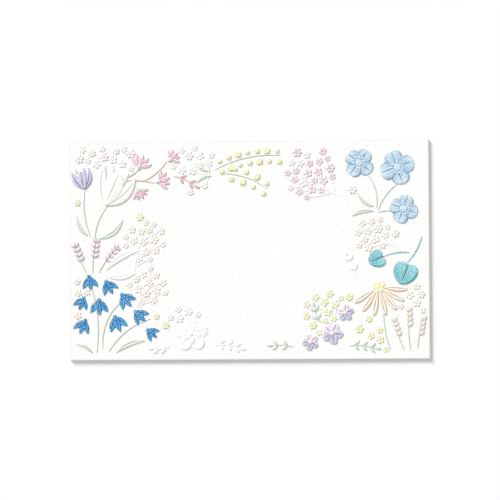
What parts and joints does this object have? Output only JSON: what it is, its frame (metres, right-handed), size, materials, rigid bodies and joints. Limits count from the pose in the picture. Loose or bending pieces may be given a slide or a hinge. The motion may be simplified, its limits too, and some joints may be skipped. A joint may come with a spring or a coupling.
{
  "type": "greeting card",
  "caption": "Flat greeting card of thick cotton paper, with a border of flowers embossed in relief and a plain middle.",
  "frame": {"origin": "middle of the back face, on the surface that the card lies on", "axes": "+X along the card's long side, towards the right as the front is seen; +Y towards its top edge; +Z out of the embossed face"},
  "size_m": [0.148, 0.09, 0.0012],
  "materials": {
    "paper": "matte"
  },
  "bodies": {
    "root": {"card": "paper"}
  },
  "joints": []
}
